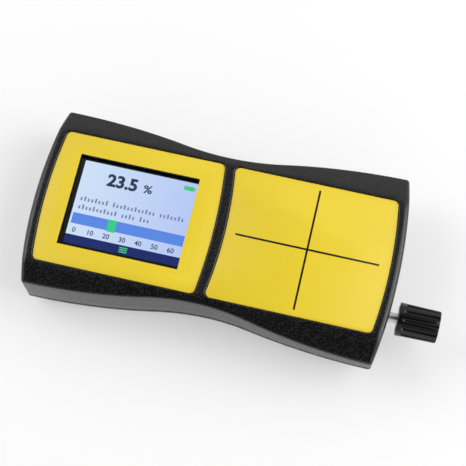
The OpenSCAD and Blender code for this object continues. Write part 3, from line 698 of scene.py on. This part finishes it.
# a label's recess with a softly rounded rim; the cutter stands 1 mm proud of the rim
def recessCutter(which):
    gap, edge = upper["recessGap"], upper["rimEdge"]
    rows = [(gap, upper["recessZ"]), (gap, upper["rimZ"] - edge)]
    for k in range(1, upper["rimSteps"] + 1):
        angle = quarterTurn * k / upper["rimSteps"]
        rows.append((gap + edge * (1 - math.cos(angle)),
                     upper["rimZ"] - edge * (1 - math.sin(angle))))
    rows.append((gap + edge, upper["rimZ"] + 1))
    return loft("recess", [labelRing(which, grow, z) for grow, z in rows])


def makeUpperShell():
    outer = outline(0)
    normals = []
    for (xa, ya), (xb, yb) in zip(outer, outline(1)):
        length = math.hypot(xa - xb, ya - yb)
        normals.append(((xa - xb) / length, (ya - yb) / length))
    sideRound, endRound = upper["sideRound"], upper["endRound"]
    rounds = [sideRound + (endRound - sideRound) * abs(n[0]) ** 2 for n in normals]

    def flatRing(inset, height):
        return [(x, y, height(x, y)) for x, y in outline(inset)]

    def clamped(limit, y):
        return max(-limit, min(limit, y))

    def seam(x, y):
        return seamHeight(x)

    def lipTop(x, y):
        return seamHeight(x) + upper["lipHeight"]

    def seamTop(x, y):
        return seamHeight(x) + upper["seamRise"]

    def ceiling(x, y):
        return min(upper["ceilingZ"], shoulderHeight(y) - upper["wall"] - upper["ceilingDrop"])

    # from the ceiling down the inside, round the rebate and the seam, and up the outside
    wall, half = upper["wall"], upper["ceilingHalf"]
    rings = [
        [(x, clamped(half, y), upper["ceilingZ"]) for x, y in outline(wall + 1)],
        flatRing(wall, ceiling),
        flatRing(wall, lipTop),
        flatRing(wall / 2, lipTop),
        flatRing(wall / 2, seam),
        flatRing(upper["seamEdge"], seam),
        flatRing(0, seamTop),
    ]
    for share in upper["wallShares"]:
        rings.append([
            (x, y, seamHeight(x) + share * (shoulderHeight(y) - r - seamHeight(x)))
            for (x, y), r in zip(outer, rounds)
        ])
    # rounded top edge, wide at the ends and narrow along the sides
    for k in range(upper["roundSteps"] + 1):
        angle = quarterTurn * k / upper["roundSteps"]
        ring = []
        for (x, y), n, r in zip(outer, normals, rounds):
            inset = r * (1 - math.cos(angle))
            px, py = x - n[0] * inset, y - n[1] * inset
            ring.append((px, py, shoulderHeight(py) - r + r * math.sin(angle)))
        rings.append(ring)
    # over the shoulders and in to the flat top
    edge = rings[-1]
    flat = [(x, clamped(upper["shoulderStart"], y)) for x, y in outline(upper["topInset"])]
    for share in upper["topShares"]:
        ring = []
        for (xa, ya, _), (xb, yb) in zip(edge, flat):
            y = ya + (yb - ya) * share
            ring.append((xa + (xb - xa) * share, y, shoulderHeight(y)))
        rings.append(ring)
    shell = loft("upperShell", rings)

    for which in ("display", "sensor"):
        cut(shell, recessCutter(which))
    cut(shell, openingBlock(opening["shellFrom"]))
    cut(shell, cylinder("pocketCutter", (pocket["x"], 0, pocket["z"]), pocket["radius"],
                        pocket["depth"]))
    cut(shell, cylinderAlongX("holeCutter", shaftHole["x0"], shaftHole["x1"],
                              knobAxis["y"], knobAxis["z"], shaftHole["radius"]))
    smoothShade(shell, upper["smoothAngle"])
    dress(shell, "grainedAbs", "housing", "shell_black", "top_shell")


makeUpperShell()
print("upper shell ready")


# a thin plate with a rounded upper edge
def makeLabel(which, name, finish, node):
    low, high, edge = labels["low"], labels["high"], labels["edge"]
    part = edge * labels["edgeShare"]
    rows = [(0, low), (0, high - edge), (-part, high - part), (-edge, high)]
    piece = loft(name, [labelRing(which, grow, z) for grow, z in rows])
    if which == "display":
        cut(piece, openingBlock(opening["labelFrom"]))
        breakEdges(piece, labels["openingEdge"], labels["openingAngle"])
    smoothShade(piece, labels["smoothAngle"])
    dress(piece, finish, "housing", "label_yellow", node)


makeLabel("display", "displayLabel", "displayFilm", "display_label")
makeLabel("sensor", "sensorLabel", "sensorFilm", "sensor_label")
print("labels ready")

# figures of the display, flat ink on its panel; s and t are fractions of the lit area from left
# and top, heights and boldness are mm, and capShare is a capital's part of the letter size
figures = {
    "z": 24.06, "thick": 0.02, "capShare": 0.7, "curveSteps": 4,
    "number": {"words": "23.5", "s": 0.226, "t": 0.241, "height": 4.65, "ink": "navyInk",
               "boldness": 0.26, "widen": 1.05},
    "unit": {"words": "%", "s": 0.545, "t": 0.235, "height": 3.1, "ink": "slateInk",
             "boldness": 0.11, "widen": 1.15},
    "scale": {"count": 7, "every": 10, "s": 0.045, "step": 0.1400, "perLetter": 0.016,
              "t": 0.862, "height": 1.9, "ink": "slateInk", "boldness": 0.05, "widen": 1.0},
}
# rows of small blocks that stand for lines of writing: (first s, t, letters of each word)
greeked = {
    "rows": [(0.045, 0.425, (8, 12, 7)), (0.045, 0.525, (11, 4, 3))],
    "pitch": 0.0315, "wide": 0.0155, "tall": 0.038, "ascender": 0.056, "corner": 0.12,
}
# the battery's block and nub and the menu's three bars: (s0, t0, s1, t1) and corner in mm
signs = {
    "batterySign": [((0.88, 0.048, 0.968, 0.100), 0.15), ((0.970, 0.060, 0.982, 0.088), 0.08)],
    "menuSign": [((0.475, t, 0.545, t + 0.014), 0.08) for t in (0.918, 0.942, 0.966)],
}


def textPiece(name, words, s, look):
    deselectAll()
    bpy.ops.object.text_add(location=(0, 0, 0))
    piece = bpy.context.object
    piece.name = name
    piece.data.body = words
    piece.data.size = look["height"] * mm / figures["capShare"]
    piece.data.offset = look["boldness"] * mm
    piece.data.extrude = figures["thick"] / 2 * mm
    piece.data.resolution_u = figures["curveSteps"]
    bpy.ops.object.convert(target="MESH")
    x = screen["x"] + s * screen["width"]
    y = screen["y"] - look["t"] * screen["height"]
    z = figures["z"] + figures["thick"] / 2
    piece.data.transform(Matrix.Translation((x * mm, y * mm, z * mm))
                         @ Matrix.Diagonal((look["widen"], 1, 1, 1)))
    dress(piece, look["ink"], "housing", "lcd_screen")


# a flat plate with rounded corners on the display
def platePiece(fractions, corner):
    x0, y0, x1, y1 = screenBox(fractions)
    centres = ((x1 - corner, y1 - corner), (x0 + corner, y1 - corner),
               (x0 + corner, y0 + corner), (x1 - corner, y0 + corner))
    points = []
    for turn, (cx, cy) in enumerate(centres):
        start, end = quarterTurn * turn, quarterTurn * (turn + 1)
        points += arcPoints((cx, cy), corner, start, end, 3)
        points.append((cx + corner * math.cos(end), cy + corner * math.sin(end)))
    low, high = figures["z"], figures["z"] + figures["thick"]
    return loft("plate", [[(x, y, z) for x, y in points] for z in (low, high)])


def joinPieces(name, pieces):
    deselectAll()
    for piece in pieces:
        piece.select_set(True)
    bpy.context.view_layer.objects.active = pieces[0]
    bpy.ops.object.join()
    pieces[0].name = name
    return pieces[0]


def makeWriting():
    plates = []
    for first, top, words in greeked["rows"]:
        foot = top + greeked["ascender"]
        s = first
        for count in words:
            for k in range(count):
                # about every third letter stands taller
                tall = greeked["ascender"] if (k * 7 + count) % 3 == 0 else greeked["tall"]
                box = (s, foot - tall, s + greeked["wide"], foot)
                plates.append(platePiece(box, greeked["corner"]))
                s += greeked["pitch"]
            s += greeked["pitch"]
    dress(joinPieces("displayWriting", plates), "greyInk", "housing", "lcd_screen")


def makeFigures():
    for name, look in (("displayNumber", figures["number"]), ("displayUnit", figures["unit"])):
        textPiece(name, look["words"], look["s"], look)
    scale = figures["scale"]
    for step in range(scale["count"]):
        label = str(step * scale["every"])
        s = scale["s"] + scale["step"] * step - scale["perLetter"] * (len(label) - 1)
        textPiece("scaleNumber%d" % step, label, s, scale)


makeWriting()
makeFigures()
for name, plates in signs.items():
    sign = joinPieces(name, [platePiece(box, corner) for box, corner in plates])
    dress(sign, "greenInk", "housing", "lcd_screen")
print("display figures ready")

# knob, mm along its axis from its inner face, and degrees; faceRecess, stations and dish are
# its lengthwise profile: the ring sunk in the inner face, places along the grip, the hollow end
knob = {
    "x": 73.55, "length": 15.6, "radius": 6.35, "tipRadius": 6.15,
    "flutes": 12, "fluteR": 1.05, "fluteHalf": 9.0, "fluteTurn": 15, "fluteSteps": 6,
    "reach": 6.63, "collar": 1.7, "chamfer": 0.35, "tipChamfer": 0.5,
    "boreR": 2.01, "boreDepth": 10.8,
    "faceRecess": [(0.0, 3.7), (0.5, 3.7), (0.5, 5.05), (0.0, 5.05)],
    "innerEdge": 0.1, "tipEdge": (0.15, 0.12),
    "stations": (1.0, 1.7, 1.76, 1.85, 2.0, 2.2, 2.45, 2.75, 4.0, 6.5, 9.0, 11.5, 13.5),
    "dish": [(0.0, 4.5), (0.12, 4.3), (0.45, 4.1)],
    "smoothAngle": 32,
}


# the grip tapers from collar to tip
def knobRadius(along):
    span = (along - knob["collar"]) / (knob["length"] - knob["tipChamfer"] - knob["collar"])
    return knob["radius"] + (knob["tipRadius"] - knob["radius"]) * max(0.0, min(1.0, span))


# a flute is a round groove whose start at the collar is a quarter of a ball
def flutedRadius(along, phi, base):
    start = knob["collar"] + knob["fluteR"]
    sunk = knob["fluteR"]
    if along < start:
        sunk = math.sqrt(max(0.0, knob["fluteR"] ** 2 - (start - along) ** 2))
    side = knob["reach"] * math.sin(phi)
    if abs(side) >= sunk:
        return base
    return min(base, knob["reach"] * math.cos(phi) - math.sqrt(sunk * sunk - side * side))


# lengthwise profile as (along, radius, fluted)
def knobProfile():
    length, radius, tip = knob["length"], knob["radius"], knob["tipRadius"]
    chamfer, inner = knob["chamfer"], knob["innerEdge"]
    tipStart = length - knob["tipChamfer"]
    back, down = knob["tipEdge"]
    return (
        [(along, r, False) for along, r in knob["faceRecess"]]
        + [(0.0, radius - chamfer, False), (inner, radius - inner, False), (chamfer, radius, False)]
        + [(along, knobRadius(along), True) for along in knob["stations"] + (tipStart,)]
        + [(length - back, tip - down, True), (length, tip - knob["tipChamfer"], True)]
        + [(length - depth, r, False) for depth, r in knob["dish"]]
    )


def makeKnob():
    pitch = 2 * math.pi / knob["flutes"]
    half, steps = math.radians(knob["fluteHalf"]), knob["fluteSteps"]
    turns = [half * k / steps for k in range(-steps, steps + 1)]
    turns += [half + (pitch - 2 * half) * k / steps for k in range(1, steps)]
    angles = [(turn + pitch * k + math.radians(knob["fluteTurn"]), turn)
              for k in range(knob["flutes"]) for turn in turns]
    rings = []
    for along, radius, fluted in knobProfile():
        ring = []
        for angle, phi in angles:
            if phi > math.pi / knob["flutes"]:
                phi -= pitch
            r = flutedRadius(along, phi, radius) if fluted else radius
            ring.append((knob["x"] + along, knobAxis["y"] + r * math.cos(angle),
                         knobAxis["z"] + r * math.sin(angle)))
        rings.append(ring)
    piece = loft("flutedKnob", rings)
    cut(piece, cylinderAlongX("boreCutter", knob["x"] - 1, knob["x"] + knob["boreDepth"],
                              knobAxis["y"], knobAxis["z"], knob["boreR"]))
    smoothShade(piece, knob["smoothAngle"])
    dress(piece, "satinAbs", "knob", "knob_black", "control_knob")


makeKnob()
print("knob ready")

# pieces that follow their CAD nodes: name, finish, body and slot
copies = {
    "bottom_shell": ("lowerShell", "grainedAbs", "housing", "shell_black"),
    "battery_cover": ("batteryCover", "grainedAbs", "cover", "shell_black"),
    "encoder_shaft": ("knobShaft", "turnedSteel", "knob", "shaft_steel"),
    "encoder_bushing": ("threadedBushing", "tinPlate", "housing", "encoder_steel"),
    "case_screws": ("caseScrews", "zincPlate", "housing", "screw_steel"),
}
copying = {"mergeMm": 0.002, "flatAngle": 0.2, "smoothAngle": 30}


# a copy of a CAD node, its facets' points merged and its flats cleared, then smoothed
def copyOf(node, name):
    piece = bpy.data.objects.new(name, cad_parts[node].data.copy())
    bpy.context.scene.collection.objects.link(piece)
    deselectAll()
    piece.select_set(True)
    bpy.context.view_layer.objects.active = piece
    bpy.ops.object.mode_set(mode="EDIT")
    bpy.ops.mesh.select_all(action="SELECT")
    bpy.ops.mesh.remove_doubles(threshold=copying["mergeMm"] * mm)
    bpy.ops.mesh.customdata_custom_splitnormals_clear()
    bpy.ops.mesh.dissolve_limited(angle_limit=math.radians(copying["flatAngle"]))
    bpy.ops.object.mode_set(mode="OBJECT")
    smoothShade(piece, copying["smoothAngle"])
    return piece


for node, (name, finish, body, slot) in copies.items():
    dress(copyOf(node, name), finish, body, slot, node)

# pieces that are the CAD nodes themselves, with a finish
nodeFinishes = {
    "display_window": "clearPolycarbonate", "display_gasket": "foamBlack",
    "lcd_panel": "litDisplay", "display_board": "solderMask", "display_cable": "polyimide",
    "link_cable": "flatCable", "cable_sockets": "nylonCream", "control_board": "solderMask",
    "logic_chips": "epoxyBlack", "board_header": "epoxyBlack", "sensor_board": "solderMask",
    "sensor_former": "nylonWhite", "sensor_coil": "enamelCopper", "ferrite_core": "ferrite",
    "coil_leads": "enamelCopper", "encoder_body": "tinPlate", "encoder_terminals": "tinnedBrass",
    "switch_dome": "nickelPlate", "encoder_rotor": "acetal", "battery_cells": "cellWrap",
    "battery_springs": "nickelPlate", "battery_plates": "nickelPlate",
    "battery_leads": "leadSleeve", "board_screws": "zincPlate",
}
for node, finish in nodeFinishes.items():
    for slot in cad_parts[node].material_slots:
        slot.link = "OBJECT"
        slot.material = finishes[finish]
print("inner pieces dressed")
